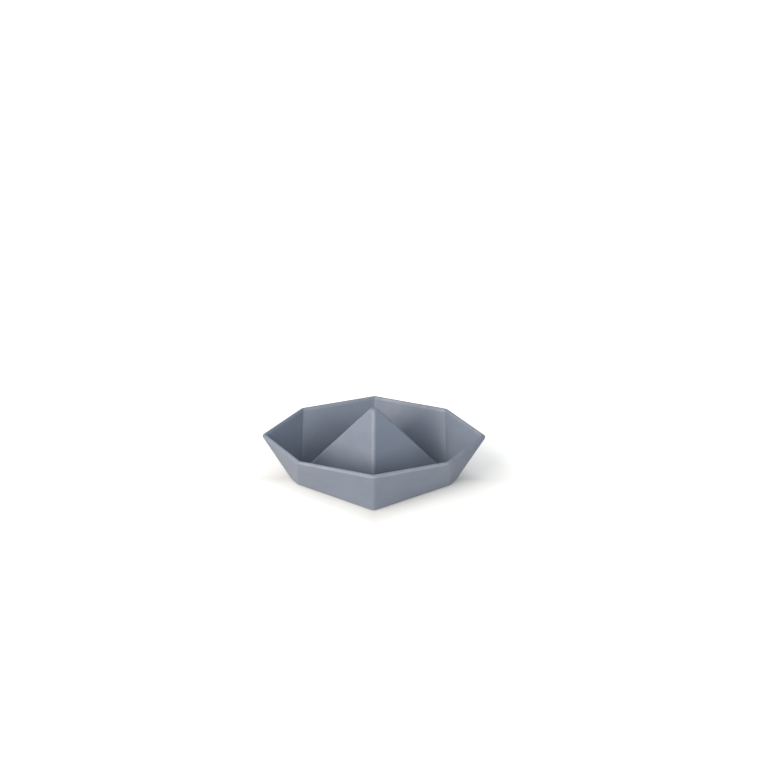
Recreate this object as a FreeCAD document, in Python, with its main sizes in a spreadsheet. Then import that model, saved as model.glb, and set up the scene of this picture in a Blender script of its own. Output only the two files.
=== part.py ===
import FreeCAD, Part
import math
import os
import Sketcher

# Origami sailboat: a bath toy moulded in one piece, in the form of a folded paper boat.
# Millimetres. X runs along the boat, Y across it, Z up.
# The origin is on the floor, under the middle of the boat.

doc = FreeCAD.newDocument("origami_sailboat")
TINY = 1e-4
EDGE_TURN = 30


# Sizes

SIZES = [
    ("hull_length", 116.3, "between the two tips of the rim, before they are rounded"),
    ("hull_width", 75.2, "between the middle corners of the rim"),
    ("rim_height", 27.5, "floor to the top of the rim, level all round"),
    ("rim_shoulder_length", 76.2, "along the boat between the rim's shoulder corners"),
    ("rim_shoulder_width", 51.4, "across the boat between the rim's shoulder corners"),
    ("floor_width", 57.2, "between the middle corners of the floor"),
    ("floor_shoulder_length", 78.4, "along the boat between the floor's shoulder corners"),
    ("floor_shoulder_width", 11.7, "across the boat between the floor's shoulder corners"),
    ("stem_foot", 4.1, "along the boat from the floor's shoulder corners to the stem's foot"),
    ("wall", 2.3, "thickness of the sides, measured level"),
    ("base_thickness", 2.3, "thickness of the floor"),
    ("sail_height", 46.6, "floor to the sail's point, before it is rounded"),
    ("sail_end_gap", 0.9, "along the boat from the stem's foot to the sail's foot"),
    ("sail_side_gap", 2.3, "across the boat from the side's foot to the sail's foot"),
    ("sail_wall", 2.3, "thickness of the sail's four faces"),
    ("lip_drop", 0.9, "how much lower the lip's outer edge is than its inner edge"),
    ("lip_round", 0.7, "radius of the lip's outer edge"),
    ("lip_inner_round", 0.4, "radius of the lip's inner edge"),
    ("side_round", 3.0, "radius of the upright outer edges"),
    ("tip_round", 2.5, "radius of the two stems at the rim"),
    ("tip_foot_round", 4.5, "radius of the two stems at the floor"),
    ("cavity_round", 1.5, "radius of the upright inner corners"),
    ("foot_round", 1.0, "radius round the underside"),
    ("valley_round", 0.7, "radius where the sides and the sail meet the floor inside"),
    ("sail_round", 1.5, "radius of the sail's ridges and point"),
    ("hollow_round", 0.8, "radius of the ridges under the sail"),
]

# Sizes worked out from the sheet

RIM = {
    "length": "Sizes.hull_length",
    "width": "Sizes.hull_width",
    "shoulder_length": "Sizes.rim_shoulder_length",
    "shoulder_width": "Sizes.rim_shoulder_width",
}
FLOOR_LENGTH = "(Sizes.floor_shoulder_length + 2 * Sizes.stem_foot)"
FLOOR = {
    "length": FLOOR_LENGTH,
    "width": "Sizes.floor_width",
    "shoulder_length": "Sizes.floor_shoulder_length",
    "shoulder_width": "Sizes.floor_shoulder_width",
}
LIP_SLOPE = "(Sizes.wall * 0.9 - Sizes.lip_inner_round)"
SAIL_LENGTH = f"({FLOOR_LENGTH} - 2 * Sizes.sail_end_gap)"
SAIL_WIDTH = "(Sizes.floor_width - 2 * Sizes.sail_side_gap)"
SAIL_REACH = f"({SAIL_LENGTH} * {SAIL_WIDTH} / 2 / hypot({SAIL_LENGTH}; {SAIL_WIDTH}))"
SAIL_SLOPE = f"atan({SAIL_REACH} / Sizes.sail_height)"
HOLLOW_SCALE = f"(1 - Sizes.sail_wall / {SAIL_REACH} / cos({SAIL_SLOPE}))"


def sizes_sheet():
    """Put the driving dimensions in a spreadsheet, one named cell each."""
    sheet = doc.addObject("Spreadsheet::Sheet", "Sizes")
    for row, (name, value, note) in enumerate(SIZES, start=1):
        sheet.set(f"A{row}", name)
        sheet.set(f"B{row}", str(value))
        sheet.set(f"C{row}", note)
        sheet.setAlias(f"B{row}", name)
    doc.recompute()
    return sheet


sheet = sizes_sheet()


def hull_sizes_at(height):
    """Return the hull's four outside sizes at a height, as expressions: the sides are straight."""
    return {
        key: f"{FLOOR[key]} + ({RIM[key]} - {FLOOR[key]}) * ({height}) / Sizes.rim_height"
        for key in RIM
    }


# Sketches

def level_sketch(body, name, height):
    """Add a sketch on the body's XY plane, raised to the height that an expression gives."""
    sketch = body.newObject("Sketcher::SketchObject", name)
    plane = next(item for item in body.Origin.OriginFeatures if item.Role == "XY_Plane")
    sketch.AttachmentSupport = [(plane, "")]
    sketch.MapMode = "FlatFace"
    sketch.setExpression("AttachmentOffset.Base.z", height)
    return sketch


def closed_outline(sketch, points, construction=False):
    """Draw a closed chain of lines through the points and return the lines' numbers."""
    lines = []
    for start, end in zip(points, points[1:] + points[:1]):
        segment = Part.LineSegment(FreeCAD.Vector(*start, 0), FreeCAD.Vector(*end, 0))
        lines.append(sketch.addGeometry(segment, construction))
    for line, following in zip(lines, lines[1:] + lines[:1]):
        sketch.addConstraint(Sketcher.Constraint("Coincident", line, 2, following, 1))
    return lines


def dimension(sketch, kind, elements, expression):
    """Add a dimension at its present value and bind it to its expression."""
    value = sheet.evalExpression(expression)
    index = sketch.addConstraint(Sketcher.Constraint(kind, *elements, value))
    sketch.setExpression(f"Constraints[{index}]", expression)


def mirror_corners(sketch, lines, pairs):
    """Hold each pair of corners symmetric about an axis: -1 is the X axis, -2 the Y axis."""
    for first, second, axis in pairs:
        sketch.addConstraint(
            Sketcher.Constraint("Symmetric", lines[first], 1, lines[second], 1, axis))


def octagon_guides(sketch, sizes, inset=0.0):
    """Draw a sharp octagon of guide lines, symmetric about both axes.

    Its tips lie on the X axis, its middle corners on the Y axis, and its shoulders between.
    """
    now = {key: sheet.evalExpression(sizes[key]) for key in sizes}
    tip = now["length"] / 2 - inset
    middle = now["width"] / 2 - inset
    along = now["shoulder_length"] / 2 - inset
    across = now["shoulder_width"] / 2 - inset / 2
    points = [
        (tip, 0), (along, across), (0, middle), (-along, across),
        (-tip, 0), (-along, -across), (0, -middle), (along, -across),
    ]
    lines = closed_outline(sketch, points, construction=True)
    sketch.addConstraint(Sketcher.Constraint("PointOnObject", lines[0], 1, -1))
    sketch.addConstraint(Sketcher.Constraint("PointOnObject", lines[2], 1, -2))
    pairs = [(0, 4, -2), (2, 6, -1), (1, 3, -2), (1, 7, -1), (7, 5, -2)]
    mirror_corners(sketch, lines, pairs)
    return lines


def hull_guides(sketch, sizes):
    """Draw the hull's outer guide lines and give them their four dimensions."""
    lines = octagon_guides(sketch, sizes)
    dimension(sketch, "DistanceX", (lines[4], 1, lines[0], 1), sizes["length"])
    dimension(sketch, "DistanceY", (lines[6], 1, lines[2], 1), sizes["width"])
    dimension(sketch, "DistanceX", (lines[3], 1, lines[1], 1), sizes["shoulder_length"])
    dimension(sketch, "DistanceY", (lines[7], 1, lines[1], 1), sizes["shoulder_width"])
    return lines


def inset_guides(sketch, sizes, inset):
    """Draw guide lines parallel to the hull's outer ones and a set distance further in."""
    outer = hull_guides(sketch, sizes)
    inner = octagon_guides(sketch, sizes, inset=sheet.evalExpression(inset))
    for corner, side in [(0, 0), (1, 0), (1, 1), (2, 1)]:
        dimension(sketch, "Distance", (inner[corner], 1, outer[side]), inset)
    return inner


def corner_arc(before, corner, after, radius):
    """Return the arc of this radius that touches both sides of a corner."""
    arriving = (corner - before).normalize()
    leaving = (after - corner).normalize()
    half_turn = arriving.getAngle(leaving) / 2
    reach = radius * math.tan(half_turn)
    inward = (leaving - arriving).normalize()
    middle = corner + inward * radius * (1 / math.cos(half_turn) - 1)
    return Part.Arc(corner - arriving * reach, middle, corner + leaving * reach)


def rounded_outline(sketch, guides, radii):
    """Draw the outline along its guide lines, with an arc of its own radius at each corner."""
    corners = [sketch.getPoint(guide, 1) for guide in guides]
    arcs = []
    for i, radius in enumerate(radii):
        after = corners[(i + 1) % len(corners)]
        arc = corner_arc(corners[i - 1], corners[i], after, sheet.evalExpression(radius))
        arcs.append(sketch.addGeometry(arc))
    for guide, arc, following in zip(guides, arcs, arcs[1:] + arcs[:1]):
        start, end = sketch.getPoint(arc, 2), sketch.getPoint(following, 1)
        side = sketch.addGeometry(Part.LineSegment(start, end))
        sketch.addConstraint(Sketcher.Constraint("PointOnObject", side, 1, guide))
        sketch.addConstraint(Sketcher.Constraint("PointOnObject", side, 2, guide))
        sketch.addConstraint(Sketcher.Constraint("Tangent", arc, 2, side, 1))
        sketch.addConstraint(Sketcher.Constraint("Tangent", side, 2, following, 1))
    for arc, radius in zip(arcs, radii):
        dimension(sketch, "Radius", (arc,), radius)


def hull_outline(body, name, height, inset, radii):
    """Sketch the hull's rounded outline at a height, a distance in from its outside."""
    sketch = level_sketch(body, name, height)
    sizes = hull_sizes_at(height)
    if inset == "0":
        guides = hull_guides(sketch, sizes)
    else:
        guides = inset_guides(sketch, sizes, inset)
    rounded_outline(sketch, guides, radii)
    return sketch


def rhombus(sketch, length, width):
    """Draw a rhombus with its corners on both axes."""
    along = sheet.evalExpression(length) / 2
    across = sheet.evalExpression(width) / 2
    lines = closed_outline(sketch, [(along, 0), (0, across), (-along, 0), (0, -across)])
    sketch.addConstraint(Sketcher.Constraint("PointOnObject", lines[0], 1, -1))
    sketch.addConstraint(Sketcher.Constraint("PointOnObject", lines[1], 1, -2))
    mirror_corners(sketch, lines, [(0, 2, -2), (1, 3, -1)])
    dimension(sketch, "DistanceX", (lines[2], 1, lines[0], 1), length)
    dimension(sketch, "DistanceY", (lines[3], 1, lines[1], 1), width)


# Features

def ruled_loft(body, kind, name, sketches):
    """Loft straight from each sketch to the next, from the lowest up."""
    loft = body.newObject(kind, name)
    loft.Profile = sketches[0]
    loft.Sections = sketches[1:]
    loft.Ruled = True
    doc.recompute()
    return loft


def round_edges(body, name, chosen, radius):
    """Fillet the edges of the body's tip that pass a test, with an expression as radius."""
    base = body.Tip
    names = [f"Edge{i}" for i, edge in enumerate(base.Shape.Edges, start=1) if chosen(edge)]
    fillet = body.newObject("PartDesign::Fillet", name)
    fillet.Base = (base, names)
    fillet.setExpression("Radius", radius)
    doc.recompute()
    return fillet


def level_at(edge, height):
    """Tell whether an edge lies level at a height."""
    box = edge.BoundBox
    return abs(box.ZMin - height) < TINY and abs(box.ZMax - height) < TINY


def reaches(edge, height):
    """Tell whether an edge's upper end is at a height."""
    return abs(max(vertex.Z for vertex in edge.Vertexes) - height) < TINY


def upright(face):
    """Tell whether a flat face stands upright."""
    return abs(face.normalAt(0, 0).z) < TINY


def combine(body, kind, name, tool):
    """Fuse another body to this one, or cut it out."""
    boolean = body.newObject("PartDesign::Boolean", name)
    boolean.Type = kind
    boolean.setObjects([tool])
    doc.recompute()


# The boat

def edge_strip(radius, turn):
    """Return how far a strip's end is from the face it leaves and the face it goes to.

    A rounded edge of radius r is made in narrow strips. After a turn a, out of 90 degrees, it is
    r (1 - cos a) from the level face that it leaves and r (1 - sin a) from the side.
    """
    return f"{radius} * (1 - cos({turn} deg))", f"{radius} * (1 - sin({turn} deg))"


def floor_levels(floor_height, inset, radius):
    """List the outlines round a bowl's floor, where it turns up into the sides.

    Each is a name, a height and a distance in from the hull's outside.
    """
    levels = []
    for turn in range(0, 90, EDGE_TURN):
        rise, inward = edge_strip(radius, turn)
        levels.append((f"floor_{turn}", f"{floor_height} + {rise}", f"{inset} + {inward}"))
    levels.append(("side_low", f"{floor_height} + {radius}", inset))
    return levels


def outer_lip_levels():
    """List the outlines of the lip's outer edge and of its top, which slopes up inwards.

    The lip is square to the flared sides, so its outer edge is the lower one.
    """
    levels = [("side_high", "Sizes.rim_height - Sizes.lip_drop - Sizes.lip_round", "0")]
    for turn in reversed(range(0, 90, EDGE_TURN)):
        drop, inward = edge_strip("Sizes.lip_round", turn)
        slope = f"Sizes.lip_drop * (1 - {inward} / {LIP_SLOPE})"
        levels.append((f"lip_{turn}", f"Sizes.rim_height - {slope} - {drop}", inward))
    levels.append(("lip_top", "Sizes.rim_height", LIP_SLOPE))
    return levels


def inner_lip_levels():
    """List the outlines of the lip's inner edge."""
    levels = [("side_high", "Sizes.rim_height - Sizes.lip_inner_round", "Sizes.wall")]
    for turn in reversed(range(0, 90, EDGE_TURN)):
        drop, inward = edge_strip("Sizes.lip_inner_round", turn)
        levels.append((f"lip_{turn}", f"Sizes.rim_height - {drop}", f"Sizes.wall - {inward}"))
    return levels


def bowl(body, kind, name, levels, radii):
    """Loft a bowl through the outlines at its levels."""
    outlines = [
        hull_outline(body, f"{name}_{level}", height, inset, radii(height, inset))
        for level, height, inset in levels
    ]
    ruled_loft(body, kind, name, outlines)


def outer_radii(height, inset):
    """List the corners' radii of an outline outside, from a tip on.

    The stems are rounder at the floor, and every corner gets sharper towards the inside.
    """
    rounder = f"(Sizes.tip_foot_round - Sizes.tip_round) * (1 - ({height}) / Sizes.rim_height)"
    corners = [f"(Sizes.tip_round + {rounder})"] + ["Sizes.side_round"] * 3
    shrunk = [f"{r} + (Sizes.cavity_round - {r}) * ({inset}) / Sizes.wall" for r in corners]
    return shrunk * 2


def inner_radii(height, inset):
    """List the corners' radii of an outline inside, which are the same at every level."""
    return ["Sizes.cavity_round"] * 8


def hull(body):
    """Make the open hull: its outside, and its inside a wall's thickness in."""
    outside = floor_levels("0", "0", "Sizes.foot_round") + outer_lip_levels()
    inside = floor_levels("Sizes.base_thickness", "Sizes.wall", "Sizes.valley_round")
    bowl(body, "PartDesign::AdditiveLoft", "outside", outside, outer_radii)
    bowl(body, "PartDesign::SubtractiveLoft", "inside", inside + inner_lip_levels(), inner_radii)


def pyramid(name, scale, ridge_round):
    """Make a body of its own with the sail's form: a rhombus raised, drafted to a point, rounded.

    The point is cut off level two ridge radii lower, to leave the fillets a face to end on.
    """
    body = doc.addObject("PartDesign::Body", name)
    foot = level_sketch(body, f"{name}_foot", "0")
    rhombus(foot, f"{SAIL_LENGTH} * {scale}", f"{SAIL_WIDTH} * {scale}")
    height = f"Sizes.sail_height * {scale} - 2 * {ridge_round}"
    post = body.newObject("PartDesign::Pad", f"{name}_post")
    post.Profile = foot
    post.setExpression("Length", height)
    doc.recompute()
    sides = [f"Face{i}" for i, face in enumerate(post.Shape.Faces, start=1) if upright(face)]
    draft = body.newObject("PartDesign::Draft", f"{name}_faces")
    draft.Base = (post, sides)
    draft.NeutralPlane = (foot.AttachmentSupport[0][0], [""])
    draft.setExpression("Angle", SAIL_SLOPE)
    doc.recompute()
    peak = sheet.evalExpression(height)
    round_edges(body, f"{name}_ridges", lambda edge: reaches(edge, peak), ridge_round)
    return body


def sail(body):
    """Raise the sail from the floor, round its foot and hollow it from below, to one thickness."""
    base_thickness = sheet.evalExpression("Sizes.base_thickness")
    half_length = sheet.evalExpression(f"{SAIL_LENGTH} / 2")
    half_width = sheet.evalExpression(f"{SAIL_WIDTH} / 2")

    def sail_foot(edge):
        ends = [abs(v.X) / half_length + abs(v.Y) / half_width for v in edge.Vertexes]
        return level_at(edge, base_thickness) and max(ends) < 1

    combine(body, "Fuse", "with_sail", pyramid("sail", "1", "Sizes.sail_round"))
    round_edges(body, "sail_foot_edge", sail_foot, "Sizes.valley_round")
    combine(body, "Cut", "with_hollow", pyramid("hollow", HOLLOW_SCALE, "Sizes.hollow_round"))


def sailboat():
    """Make the whole boat as one body."""
    body = doc.addObject("PartDesign::Body", "sailboat")
    body.Label = "sailboat"
    hull(body)
    sail(body)
    return body


boat = sailboat()
doc.recompute()


# Checks and export

for item in doc.Objects:
    if "Invalid" in item.State or "Error" in item.State:
        raise RuntimeError(f"{item.Name} did not build: {item.State}")
    shape = getattr(item, "Shape", None)
    if shape is not None and (shape.isNull() or not shape.isValid()):
        raise RuntimeError(f"{item.Name} has no sound shape")
if len(boat.Shape.Solids) != 1:
    raise RuntimeError("the boat is not one solid")

os.makedirs("parts", exist_ok=True)
boat.Shape.exportStep(f"parts/{boat.Label}.step")
print(f"{boat.Label}: {boat.Shape.Volume / 1000:.1f} cm3 in {len(boat.Shape.Faces)} faces")
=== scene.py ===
# %% [markdown]
# A toy boat in the form of a folded paper boat, moulded in one piece of slate-blue silicone.
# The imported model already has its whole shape: the open hull with eight sides, the sail that
# stands in it, and the hollow under the sail. What is left for Blender is how the toy looks:
# how light runs over its rounded edges, the dull skin of the silicone, and the photographer's
# white table with its soft lamps. Everything is in metres.

# %% Load the boat
import math

import bpy
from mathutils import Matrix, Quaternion, Vector

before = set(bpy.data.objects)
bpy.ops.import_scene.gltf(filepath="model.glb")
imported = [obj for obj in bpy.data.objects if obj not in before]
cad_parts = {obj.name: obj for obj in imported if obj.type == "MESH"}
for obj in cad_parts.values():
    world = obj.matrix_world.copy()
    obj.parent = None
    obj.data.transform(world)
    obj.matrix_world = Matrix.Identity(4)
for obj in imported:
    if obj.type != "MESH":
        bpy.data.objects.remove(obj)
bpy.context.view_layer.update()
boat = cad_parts["sailboat"]

MM = 0.001
WHITE = (1, 1, 1, 1)

# %% [markdown]
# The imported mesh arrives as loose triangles, each shaded flat, so a rounded edge would show as
# narrow facets. Moving vertices would change the shape, so only the shading is mended. A small
# geometry node tree joins the triangles where they touch and marks as sharp only the folds
# that the mould has sharp. The weighted normal modifier then lets the large faces keep their
# own direction and puts the whole turn of the light into the narrow strips of each edge.

# %% Smooth shading over the rounded edges
JOIN_DISTANCE = 0.005 * MM
SHARP_FOLD = math.radians(40)
FLATS_WEIGHT = 50


def shading_tree():
    """Return a node tree that joins loose triangles and shades every fold but sharp ones."""
    tree = bpy.data.node_groups.new("rounded_edges", "GeometryNodeTree")
    tree.interface.new_socket("Geometry", in_out="INPUT", socket_type="NodeSocketGeometry")
    tree.interface.new_socket("Geometry", in_out="OUTPUT", socket_type="NodeSocketGeometry")
    new, link = tree.nodes.new, tree.links.new
    loose = new("NodeGroupInput")
    join = new("GeometryNodeMergeByDistance")
    join.inputs["Distance"].default_value = JOIN_DISTANCE
    fold = new("GeometryNodeInputMeshEdgeAngle")
    soft = new("FunctionNodeCompare")
    soft.operation = "LESS_EQUAL"
    soft.inputs["B"].default_value = SHARP_FOLD
    smooth_faces = new("GeometryNodeSetShadeSmooth")
    smooth_folds = new("GeometryNodeSetShadeSmooth")
    smooth_folds.domain = "EDGE"
    done = new("NodeGroupOutput")
    link(loose.outputs["Geometry"], join.inputs["Geometry"])
    link(join.outputs["Geometry"], smooth_faces.inputs["Geometry"])
    link(smooth_faces.outputs["Geometry"], smooth_folds.inputs["Geometry"])
    link(fold.outputs["Unsigned Angle"], soft.inputs["A"])
    link(soft.outputs["Result"], smooth_folds.inputs["Shade Smooth"])
    link(smooth_folds.outputs["Geometry"], done.inputs["Geometry"])
    return tree


boat.modifiers.new("rounded_edges", "NODES").node_group = shading_tree()
flats_first = boat.modifiers.new("flats_first", "WEIGHTED_NORMAL")
flats_first.mode = "FACE_AREA"
flats_first.weight = FLATS_WEIGHT
flats_first.keep_sharp = True
print("Shading modifiers:", [modifier.name for modifier in boat.modifiers])

# %% [markdown]
# Silicone for toys is dull and a little soft to the light. Its material is built up in steps,
# and each step adds one more thing to it. All its textures lie on the Object coordinates, so
# they stay put on the boat and pass through its walls without a seam. Four short functions
# add the nodes that the steps share: noise, a new range for a value, a sum or product, and a
# mix of two colours. A Mix node has a set of sockets for each kind of data under the same
# names, so its colour sockets are called by their numbers.

# %% Helpers for the silicone's nodes
NOISE_LOW = 0.3
NOISE_HIGH = 0.7
PLAIN_DETAIL = 2.0
MIX_FIRST_COLOUR = 6
MIX_SECOND_COLOUR = 7
MIX_RESULT_COLOUR = 2


def noise(tree, coordinates, name, scale, detail=PLAIN_DETAIL):
    """Add noise of this many waves to the metre and return its factor."""
    node = tree.nodes.new("ShaderNodeTexNoise")
    node.name = name
    node.inputs["Scale"].default_value = scale
    node.inputs["Detail"].default_value = detail
    tree.links.new(coordinates, node.inputs["Vector"])
    return node.outputs["Fac"]


def ranged(tree, value, start, end, low, high):
    """Map a value from the range start..end to low..high, without going past either."""
    node = tree.nodes.new("ShaderNodeMapRange")
    for socket, number in zip(["From Min", "From Max", "To Min", "To Max"],
                              [start, end, low, high]):
        node.inputs[socket].default_value = number
    tree.links.new(value, node.inputs["Value"])
    return node.outputs["Result"]


def calculated(tree, operation, first, second=0.0):
    """Return a Math node's result; each operand is a socket or a number."""
    node = tree.nodes.new("ShaderNodeMath")
    node.operation = operation
    for socket, operand in zip(node.inputs, (first, second)):
        if isinstance(operand, (int, float)):
            socket.default_value = operand
        else:
            tree.links.new(operand, socket)
    return node.outputs["Value"]


def mixed(tree, amount, first, second):
    """Mix two colours, each a socket or a constant, by an amount."""
    node = tree.nodes.new("ShaderNodeMix")
    node.data_type = "RGBA"
    tree.links.new(amount, node.inputs["Factor"])
    for place, colour in ((MIX_FIRST_COLOUR, first), (MIX_SECOND_COLOUR, second)):
        if isinstance(colour, tuple):
            node.inputs[place].default_value = colour
        else:
            tree.links.new(colour, node.inputs[place])
    return node.outputs[MIX_RESULT_COLOUR]


silicone = bpy.data.materials.new("slate_silicone")
silicone.use_nodes = True
tree = silicone.node_tree
skin = tree.nodes["Principled BSDF"]
coordinates = tree.nodes.new("ShaderNodeTexCoord").outputs["Object"]
boat.data.materials.clear()
boat.data.materials.append(silicone)
print("Material:", boat.data.materials[0].name)

# %% [markdown]
# The pigment isn't quite even, so the base colour is cloudy in two sizes: wide clouds over
# each face, and a fine mottle.

# %% Cloudy pigment
SLATE = (0.206, 0.236, 0.302, 1)
SLATE_DEEP = (0.186, 0.216, 0.281, 1)
CLOUD_WAVES = 45
CLOUD_SHARE = 0.7
MOTTLE_WAVES = 380
MOTTLE_DETAIL = 4


def pigment():
    """Return the base colour: wide clouds and a fine mottle between two shades of slate."""
    wide = noise(tree, coordinates, "pigment_clouds", CLOUD_WAVES)
    clouds = ranged(tree, wide, NOISE_LOW, NOISE_HIGH, 0, CLOUD_SHARE)
    fine = noise(tree, coordinates, "pigment_mottle", MOTTLE_WAVES, MOTTLE_DETAIL)
    mottle = ranged(tree, fine, NOISE_LOW, NOISE_HIGH, 0, 1 - CLOUD_SHARE)
    return mixed(tree, calculated(tree, "ADD", clouds, mottle), SLATE_DEEP, SLATE)


colour = pigment()
print("Pigment from", SLATE_DEEP[:3], "to", SLATE[:3])

# %% [markdown]
# Pale bands along the lip and the sail's ridges are painted highlight, and in part wear. The
# base colour turns paler where light would catch the rounded edges, and hands also polish a toy
# where it sticks out. On this boat the edges lie in a few simple places: the lip is at the top
# of the hull, the stems and the sail's long ridges are in the plane y = 0, the middle corners
# and the sail's short ridges in the plane x = 0, and the hull's shoulders close to |x| = 38.6 mm.
# So the distance from the nearest of them says how near a point is to an edge. This is exact and
# has no grain, where ray-traced edge masks need many samples. The sail's foot is a rhombus, and a
# point is on the sail where |x| / half its length + |y| / half its width is under 1. There the
# lip's band is left out, and outside it the hull's upright edges are fainter. Noise breaks the
# bands up, so they are uneven.

# %% Painted edge highlight and wear
EDGE_HIGHLIGHT_PALE = (0.350, 0.380, 0.440, 1)
EDGE_HIGHLIGHT_SHARE = 0.45
EDGE_REACH = 1.3 * MM
SHOULDER_AT = 38.6 * MM
LIP_AT = 26.6 * MM
LIP_REACH = 0.8 * MM
SAIL_HALF_LENGTH = 42.4 * MM
SAIL_HALF_WIDTH = 26.3 * MM
SAIL_ENDS = 1
HULL_STARTS = 1.05
HULL_EDGE_SHARE = 0.25
EDGE_BAND_WAVES = 260
EDGE_BAND_DETAIL = 3
EDGE_BAND_FULL_AT = 0.65
EDGE_BAND_LEAST = 0.35


def edge_highlight_and_wear():
    """Return the mask of the painted edge highlight and wear: 1 on an edge, down to 0 at a short
    distance from it.
    """
    place = tree.nodes.new("ShaderNodeSeparateXYZ")
    tree.links.new(coordinates, place.inputs["Vector"])
    along = calculated(tree, "ABSOLUTE", place.outputs["X"])
    across = calculated(tree, "ABSOLUTE", place.outputs["Y"])
    shoulder = calculated(tree, "ABSOLUTE", calculated(tree, "SUBTRACT", along, SHOULDER_AT))
    nearest = calculated(tree, "MINIMUM", calculated(tree, "MINIMUM", along, across), shoulder)
    ridge = ranged(tree, nearest, EDGE_REACH / 2, EDGE_REACH, 1, 0)
    lip = ranged(tree, place.outputs["Z"], LIP_AT - LIP_REACH, LIP_AT, 0, 1)
    foot = calculated(tree, "ADD",
                      calculated(tree, "DIVIDE", along, SAIL_HALF_LENGTH),
                      calculated(tree, "DIVIDE", across, SAIL_HALF_WIDTH))
    ridge_share = ranged(tree, foot, SAIL_ENDS, HULL_STARTS, 1, HULL_EDGE_SHARE)
    lip_share = ranged(tree, foot, SAIL_ENDS, HULL_STARTS, 0, 1)
    bands = calculated(tree, "MAXIMUM",
                       calculated(tree, "MULTIPLY", ridge, ridge_share),
                       calculated(tree, "MULTIPLY", lip, lip_share))
    patches = noise(tree, coordinates, "edge_band_patches", EDGE_BAND_WAVES, EDGE_BAND_DETAIL)
    patchy = ranged(tree, patches, NOISE_LOW, EDGE_BAND_FULL_AT, EDGE_BAND_LEAST, 1)
    return calculated(tree, "MULTIPLY", bands, patchy)


highlight_and_wear = edge_highlight_and_wear()
# Painted highlight, partly wear: along the edges the base colour is mixed towards a paler slate.
colour = mixed(tree, calculated(tree, "MULTIPLY", highlight_and_wear, EDGE_HIGHLIGHT_SHARE), colour, EDGE_HIGHLIGHT_PALE)
print("Edge bands:", round(EDGE_REACH / MM, 2), "mm each side")

# %% [markdown]
# Silicone is a little sticky and gathers lint. A Voronoi texture puts one point in each cell of
# space. Only cells whose random colour is high keep their speck, and each speck is a small
# ball about its point, so it shows as a dot wherever a face cuts through it.

# %% Lint
LINT = (0.40, 0.42, 0.46, 1)
LINT_CELLS = 300
LINT_SIZE = 0.045
LINT_ABOVE = 0.93
LINT_SHARE = 0.5


def lint():
    """Return 1 on the few specks of lint and 0 elsewhere."""
    cells = tree.nodes.new("ShaderNodeTexVoronoi")
    cells.inputs["Scale"].default_value = LINT_CELLS
    tree.links.new(coordinates, cells.inputs["Vector"])
    speck = ranged(tree, cells.outputs["Distance"], LINT_SIZE, 2 * LINT_SIZE, 1, 0)
    pick = tree.nodes.new("ShaderNodeSeparateColor")
    tree.links.new(cells.outputs["Color"], pick.inputs["Color"])
    kept = calculated(tree, "GREATER_THAN", pick.outputs["Red"], LINT_ABOVE)
    return calculated(tree, "MULTIPLY", speck, kept)


specks = lint()
colour = mixed(tree, calculated(tree, "MULTIPLY", specks, LINT_SHARE), colour, LINT)
tree.links.new(colour, skin.inputs["Base Color"])
print("Lint cells:", LINT_CELLS, "to the metre, of which", round(1 - LINT_ABOVE, 2), "hold a speck")

# %% [markdown]
# The mould was blasted, so the skin has a fine grain that breaks up every highlight. It is far
# too fine to model, and so it is a bump: two noises, of about a quarter of a millimetre and
# of one millimetre, a few hundredths of a millimetre high. The roughness goes with it. It is
# high all over, a little uneven, lower where hands have polished the edges, and higher on lint.

# %% Grain and roughness
GRAIN_WAVES = 4200
GRAIN_DETAIL = 3
GRAIN_HEIGHT = 0.02 * MM
GRAIN_STRENGTH = 0.6
RIPPLE_WAVES = 900
RIPPLE_SHARE = 1.5
DULL_WAVES = 120
DULL_DETAIL = 3
ROUGHNESS_LOW = 0.46
ROUGHNESS_HIGH = 0.60
POLISH = 0.12
LINT_DULLNESS = 0.3


def grain():
    """Return the bumped normal of the blasted skin, with the lint standing on it."""
    fine = noise(tree, coordinates, "mould_grain", GRAIN_WAVES, GRAIN_DETAIL)
    ripple = noise(tree, coordinates, "mould_ripple", RIPPLE_WAVES)
    height = calculated(tree, "ADD", fine, calculated(tree, "MULTIPLY", ripple, RIPPLE_SHARE))
    bump = tree.nodes.new("ShaderNodeBump")
    bump.inputs["Strength"].default_value = GRAIN_STRENGTH
    bump.inputs["Distance"].default_value = GRAIN_HEIGHT
    tree.links.new(calculated(tree, "ADD", height, specks), bump.inputs["Height"])
    return bump.outputs["Normal"]


def dullness():
    """Return the roughness: uneven, lower on handled edges, higher on lint."""
    uneven = noise(tree, coordinates, "dull_clouds", DULL_WAVES, DULL_DETAIL)
    base = ranged(tree, uneven, NOISE_LOW, NOISE_HIGH, ROUGHNESS_LOW, ROUGHNESS_HIGH)
    polished = calculated(tree, "SUBTRACT", base, calculated(tree, "MULTIPLY", highlight_and_wear, POLISH))
    return calculated(tree, "ADD", polished, calculated(tree, "MULTIPLY", specks, LINT_DULLNESS))


tree.links.new(grain(), skin.inputs["Normal"])
tree.links.new(dullness(), skin.inputs["Roughness"])
print("Roughness", ROUGHNESS_LOW, "to", ROUGHNESS_HIGH)

# %% [markdown]
# Three constants finish the skin. The specular level is a little under glass. Sheen is the
# pale, powdery bloom that matte silicone shows at grazing angles. Subsurface lets light travel
# under a millimetre inside the skin, which softens the thin lip and the ridges.

# %% Bloom and softness
SPECULAR_LEVEL = 0.45
SHEEN = 0.12
SHEEN_ROUGHNESS = 0.45
SOFT_SHARE = 0.10
SOFT_REACH = 0.8 * MM
SAME_FOR_EACH_COLOUR = (1.0, 1.0, 1.0)

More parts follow.
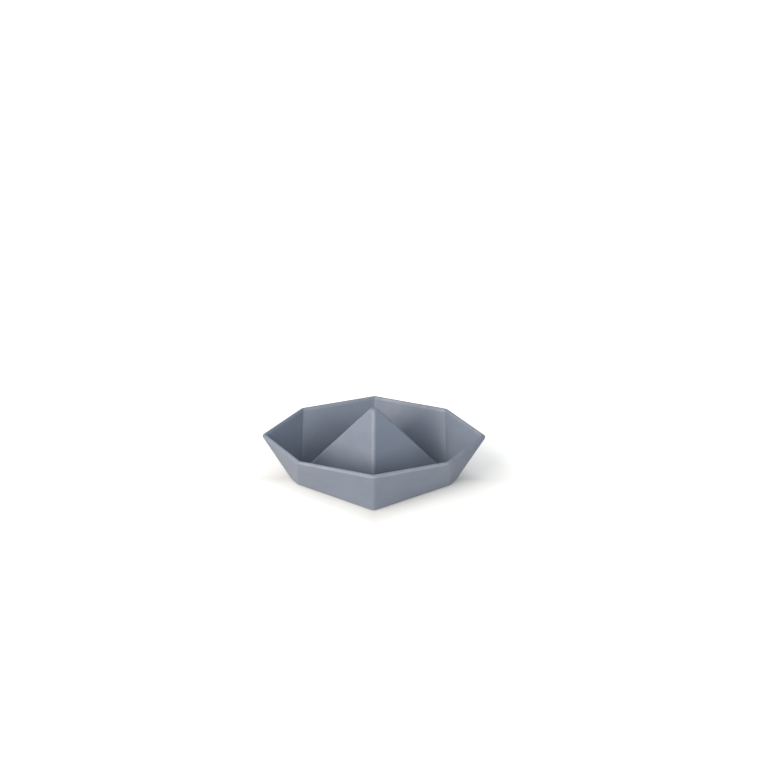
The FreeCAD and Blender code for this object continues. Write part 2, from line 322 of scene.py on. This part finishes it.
skin.inputs["Specular IOR Level"].default_value = SPECULAR_LEVEL
skin.inputs["Sheen Weight"].default_value = SHEEN
skin.inputs["Sheen Roughness"].default_value = SHEEN_ROUGHNESS
skin.inputs["Subsurface Weight"].default_value = SOFT_SHARE
skin.inputs["Subsurface Radius"].default_value = SAME_FOR_EACH_COLOUR
skin.inputs["Subsurface Scale"].default_value = SOFT_REACH
print("Sheen", SHEEN, "subsurface", SOFT_SHARE)

# %% [markdown]
# The photographer's table is a white sheet. It has to come out pure white, and still hold the
# boat's soft shadow. So the sheet is an ordinary pale surface, a little warm, for the light
# that bounces off it, and for the camera it glows a little too, which lifts it to white
# without any more light on the boat. The glow grows with the distance from the boat's foot,
# which is nearly a rhombus, so the shadow stays close to the hull and the rest is plain white.
# Close to the foot the glow is least, and this paints a shade round the boat on top of its
# real shadow. Seen from below the sheet is clear, so that it doesn't hide the boat.

# %% The white table
SHEET_HALF = 4.0
SHEET_COLOUR = (0.82, 0.80, 0.775, 1)
SHEET_ROUGHNESS = 0.9
# The glow is least at the foot, which paints a shade round the boat on top of its real shadow.
LIFT_FOOT = 0.08
LIFT_BESIDE = 0.34
LIFT_FAR = 0.80
FOOT_AT = 29 * MM
BESIDE_AT = 41 * MM
FAR_AT = 95 * MM
FOOT_SHAPE = (0.665, 1, 0)
SQUARE = ((-1, -1), (1, -1), (1, 1), (-1, 1))


def sheet_glow_with_painted_shade(tree):
    """Return the sheet's glow, least at the foot as a painted shade, by a distance that is the same
    all along a rhombus.
    """
    coordinates = tree.nodes.new("ShaderNodeTexCoord").outputs["Object"]
    folded = tree.nodes.new("ShaderNodeVectorMath")
    folded.operation = "ABSOLUTE"
    tree.links.new(coordinates, folded.inputs[0])
    reach = tree.nodes.new("ShaderNodeVectorMath")
    reach.operation = "DOT_PRODUCT"
    reach.inputs[1].default_value = FOOT_SHAPE
    tree.links.new(folded.outputs["Vector"], reach.inputs[0])
    distance = reach.outputs["Value"]
    beside = ranged(tree, distance, FOOT_AT, BESIDE_AT, LIFT_FOOT, LIFT_BESIDE)
    beyond = ranged(tree, distance, BESIDE_AT, FAR_AT, 0, LIFT_FAR - LIFT_BESIDE)
    return calculated(tree, "ADD", beside, beyond)


def sheet_material():
    """Make the white of the table."""
    material = bpy.data.materials.new("white_sheet")
    material.use_nodes = True
    tree = material.node_tree
    new, link = tree.nodes.new, tree.links.new
    paper = tree.nodes["Principled BSDF"]
    paper.inputs["Base Color"].default_value = SHEET_COLOUR
    paper.inputs["Roughness"].default_value = SHEET_ROUGHNESS
    paper.inputs["Specular IOR Level"].default_value = 0.0
    paper.inputs["Emission Color"].default_value = WHITE
    seen = new("ShaderNodeLightPath").outputs["Is Camera Ray"]
    link(calculated(tree, "MULTIPLY", seen, sheet_glow_with_painted_shade(tree)), paper.inputs["Emission Strength"])
    clear = new("ShaderNodeBsdfTransparent")
    side = new("ShaderNodeMixShader")
    link(new("ShaderNodeNewGeometry").outputs["Backfacing"], side.inputs["Fac"])
    link(paper.outputs["BSDF"], side.inputs[1])
    link(clear.outputs["BSDF"], side.inputs[2])
    link(side.outputs["Shader"], tree.nodes["Material Output"].inputs["Surface"])
    return material


corners = [(x * SHEET_HALF, y * SHEET_HALF, 0) for x, y in SQUARE]
sheet_mesh = bpy.data.meshes.new("table_sheet")
sheet_mesh.from_pydata(corners, [], [(0, 1, 2, 3)])
table_sheet = bpy.data.objects.new("table_sheet", sheet_mesh)
bpy.context.scene.collection.objects.link(table_sheet)
table_sheet.data.materials.append(sheet_material())
print("Table:", 2 * SHEET_HALF, "m square")

# %% [markdown]
# The photograph's light comes from the front and low: the sail's ridge and the hull's outside
# are bright, and the inside falls off to dark valleys. So three of the four soft boxes stand
# only 20 degrees above the table. The key is at the left front, with a higher box above it
# that reaches into the hull. A weak one at the front and another at the right fill in. The
# key is a little warm and the fill a little cool, which is why the boat's dark side looks
# bluer. No soft box is seen itself.

# %% Lamps
BOAT_MIDDLE = Vector((0, 0, 15 * MM))
LAMP_DISTANCE = 1.0
LAMP_SIZE = 0.5
LAMPS = {
    "key_left": dict(azimuth=-45, elevation=20, watts=6.9, colour=(1, 0.95, 0.87)),
    "key_high": dict(azimuth=-45, elevation=50, watts=2.9, colour=(1, 0.98, 0.92)),
    "front": dict(azimuth=0, elevation=20, watts=0.9, colour=(1, 0.96, 0.90)),
    "fill_right": dict(azimuth=45, elevation=20, watts=2.0, colour=(0.84, 0.92, 1)),
}


def direction(azimuth, elevation):
    """Return the way from the boat at an azimuth from the front and an elevation, in degrees."""
    turn, rise = math.radians(azimuth), math.radians(elevation)
    level = math.cos(rise)
    return Vector((math.sin(turn) * level, -math.cos(turn) * level, math.sin(rise)))


def soft_box(name, azimuth, elevation, watts, colour):
    """Stand a square area lamp at a distance from the boat, facing it."""
    lamp = bpy.data.lights.new(name, "AREA")
    lamp.shape = "SQUARE"
    lamp.size = LAMP_SIZE
    lamp.energy = watts
    lamp.color = colour
    box = bpy.data.objects.new(name, lamp)
    away = direction(azimuth, elevation)
    box.location = BOAT_MIDDLE + away * LAMP_DISTANCE
    box.rotation_euler = away.to_track_quat("Z", "Y").to_euler()
    box.visible_camera = False
    bpy.context.scene.collection.objects.link(box)


for name, lamp in LAMPS.items():
    soft_box(name, **lamp)
all_watts = sum(lamp["watts"] for lamp in LAMPS.values())
print("Lamps:", ", ".join(LAMPS), "with", round(all_watts, 1), "W")

# %% [markdown]
# The room adds an even light of its own, a little cool. The camera sees it as plain white.

# %% World
ROOM_LIGHT = 0.37
ROOM_COLOUR = (0.90, 0.96, 1, 1)


def room():
    """Light the boat evenly from the room, and show the camera plain white."""
    world = bpy.data.worlds.new("studio_room")
    world.use_nodes = True
    tree = world.node_tree
    plain = tree.nodes["Background"]
    seen = tree.nodes.new("ShaderNodeLightPath").outputs["Is Camera Ray"]
    tree.links.new(mixed(tree, seen, ROOM_COLOUR, WHITE), plain.inputs["Color"])
    tree.links.new(ranged(tree, seen, 0, 1, ROOM_LIGHT, 1), plain.inputs["Strength"])
    bpy.context.scene.world = world


room()
print("Room light:", ROOM_LIGHT)

# %% [markdown]
# The camera is a long lens, well back and above the table. Its place was worked out from the
# edges of the boat in the photograph, down to a fifth of a degree of roll.

# %% Camera
CAMERA_PLACE = Vector((7.9, -943.2, 670.5)) * MM
CAMERA_AIM = Vector((4.8, 89.7, 0)) * MM
CAMERA_LENS = 105.1
CAMERA_SENSOR = 36
CAMERA_ROLL = math.radians(0.2)


def photographers_camera():
    """Set up the camera and make it the scene's own."""
    lens = bpy.data.cameras.new("camera")
    lens.lens = CAMERA_LENS
    lens.sensor_width = CAMERA_SENSOR
    camera = bpy.data.objects.new("camera", lens)
    camera.location = CAMERA_PLACE
    aimed = (CAMERA_AIM - CAMERA_PLACE).to_track_quat("-Z", "Y")
    camera.rotation_euler = (aimed @ Quaternion((0, 0, 1), CAMERA_ROLL)).to_euler()
    bpy.context.scene.collection.objects.link(camera)
    bpy.context.scene.camera = camera


photographers_camera()
print("Camera:", CAMERA_LENS, "mm lens,", round((CAMERA_PLACE - BOAT_MIDDLE).length, 3), "m away")
bpy.context.scene.view_settings.view_transform = "Standard"
